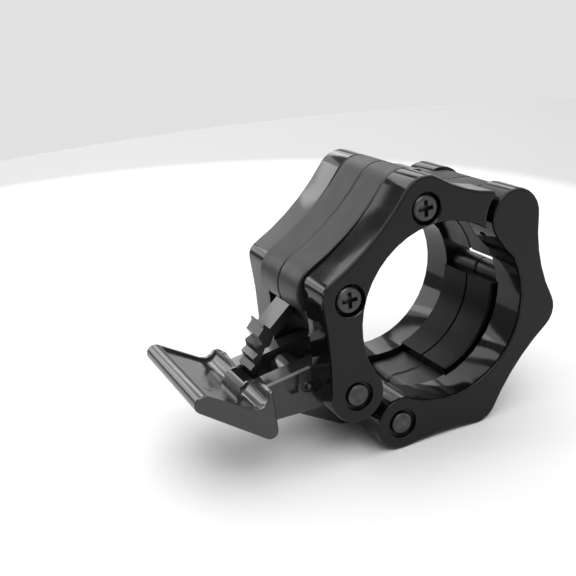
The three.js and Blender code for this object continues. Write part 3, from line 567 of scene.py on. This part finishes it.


# studio: a pale floor with painted shade darkening it behind and beyond a round white patch, a bright
# horizon under a dimmer sky, softboxes
studio = {
    "floorRadius": 0.55,
    "floorSegments": 96,
    "floorGapMm": 0.02,
    "unshadedFloorTone": (0.68, 0.68, 0.68),
    "paintedShadeTone": (0.465, 0.465, 0.47),
    "floorRoughness": 0.55,
    "cloudScale": 4,
    "cloudDetail": 3,
    "cloudShare": 0.06,
    "unshadedCentre": (-0.080, 0.153, -0.0386),
    "paintedShadeBand": (0.280, 0.300),  # from the centre: where the painted shade begins, where it is full
    "backward": (0.39, 0.92, 0),
    "backBand": (0, 0.08),  # along backward; the floor nearer than this has no painted shade
    "horizonShade": 0.645,
    "horizonBand": (0.06, 0.22),  # how far up the horizon's light fades into the sky's
    "leftShade": 0.55,  # share of the horizon's light that is left on the left
    "leftBand": (-0.5, -0.1),
    "frontShade": 0.48,  # sky in front
    "backShade": 0.30,  # sky behind
    "depthBand": (-0.3, 0.5),  # from front to back
    "lights": [
        # name, place, aim, size, watts
        ("topSoftbox", (0.05, 0.02, 1.30), (0.0, 0.0, 0.0), (2.90, 2.90), 33.0),
        ("slopeSoftbox", (-0.42, 0.86, 0.30), (0.0, 0.0, 0.0), (0.42, 0.34), 0.9),
        ("backBankLow", (-0.12, 0.86, 0.44), (0.0, 0.0, 0.0), (0.90, 0.10), 0.42),
        ("backBankHigh", (-0.12, 0.80, 0.60), (0.0, 0.0, 0.0), (0.70, 0.09), 0.42),
        ("leftSoftbox", (-0.80, 0.30, 0.30), (0.0, 0.0, 0.0), (0.30, 0.30), 0.8),
        ("frontFill", (-0.10, -0.60, 0.70), (0.03, -0.09, -0.04), (0.50, 0.40), 2.2),
        ("backStrip", (0.34, 0.86, 0.40), (0.0, 0.0, 0.0), (0.70, 0.22), 0.7),
    ],
}


def buildFloor(s=studio):
    mesh = bpy.data.meshes.new("studioFloor")
    bm = bmesh.new()
    bmesh.ops.create_circle(bm, cap_ends=True, segments=s["floorSegments"], radius=s["floorRadius"])
    bmesh.ops.translate(bm, verts=bm.verts, vec=(0, 0, cadLow.z - s["floorGapMm"] * mm))
    bm.to_mesh(mesh)
    bm.free()
    floor = bpy.data.objects.new("studioFloor", mesh)
    bpy.context.scene.collection.objects.link(floor)
    material, tree, shader = newMaterial("paleFloor")
    coords = objectCoords(tree)
    distance = tree.nodes.new("ShaderNodeVectorMath")
    distance.operation = "DISTANCE"
    distance.inputs[1].default_value = s["unshadedCentre"]
    tree.links.new(coords, distance.inputs[0])
    fade = spread(tree, distance.outputs["Value"], *s["paintedShadeBand"], 0, 1)
    behind = tree.nodes.new("ShaderNodeVectorMath")
    behind.operation = "DOT_PRODUCT"
    behind.inputs[1].default_value = s["backward"]
    tree.links.new(coords, behind.inputs[0])
    back = spread(tree, behind.outputs["Value"], *s["backBand"], 0, 1)
    fade = sums(tree, "MULTIPLY", fade, back)
    clouds = noise(tree, coords, s["cloudScale"], s["cloudDetail"])
    shade = sums(tree, "ADD", fade, sums(tree, "MULTIPLY", clouds, s["cloudShare"]))
    # painted shade: the floor's tone darkens behind and beyond the round patch, standing in for light
    # falling off; the clouds are random tone
    tone = colourBetween(tree, shade, s["unshadedFloorTone"], s["paintedShadeTone"])
    tree.links.new(tone, shader.inputs["Base Color"])
    shader.inputs["Roughness"].default_value = s["floorRoughness"]
    mesh.materials.append(material)


def buildWorld(s=studio):
    world = bpy.data.worlds.new("studioWorld")
    bpy.context.scene.world = world
    world.use_nodes = True
    tree = world.node_tree
    background = tree.nodes["Background"]
    coords = tree.nodes.new("ShaderNodeTexCoord")
    split = tree.nodes.new("ShaderNodeSeparateXYZ")
    tree.links.new(coords.outputs["Generated"], split.inputs["Vector"])
    upper = spread(tree, split.outputs["Y"], *s["depthBand"], s["frontShade"], s["backShade"])
    high = spread(tree, split.outputs["Z"], *s["horizonBand"], 0, 1)
    low = sums(tree, "SUBTRACT", 1, high)
    upperPart = sums(tree, "MULTIPLY", high, upper)
    side = spread(tree, split.outputs["X"], *s["leftBand"], s["leftShade"], 1)
    lowerPart = sums(tree, "MULTIPLY", sums(tree, "MULTIPLY", low, side), s["horizonShade"])
    tree.links.new(sums(tree, "ADD", upperPart, lowerPart), background.inputs["Strength"])
    background.inputs["Color"].default_value = (1, 1, 1, 1)


def buildLights(s=studio):
    for name, place, aim, size, watts in s["lights"]:
        data = bpy.data.lights.new(name, "AREA")
        data.shape = "RECTANGLE"
        data.size, data.size_y = size
        data.energy = watts
        lamp = bpy.data.objects.new(name, data)
        lamp.location = place
        lamp.rotation_euler = (Vector(aim) - Vector(place)).to_track_quat("-Z", "Y").to_euler()
        lamp.visible_camera = False
        bpy.context.scene.collection.objects.link(lamp)


buildFloor()
buildWorld()
buildLights()
viewSettings = bpy.context.scene.view_settings
viewSettings.view_transform = "Standard"
viewSettings.look = "Medium High Contrast"
print("studio built")
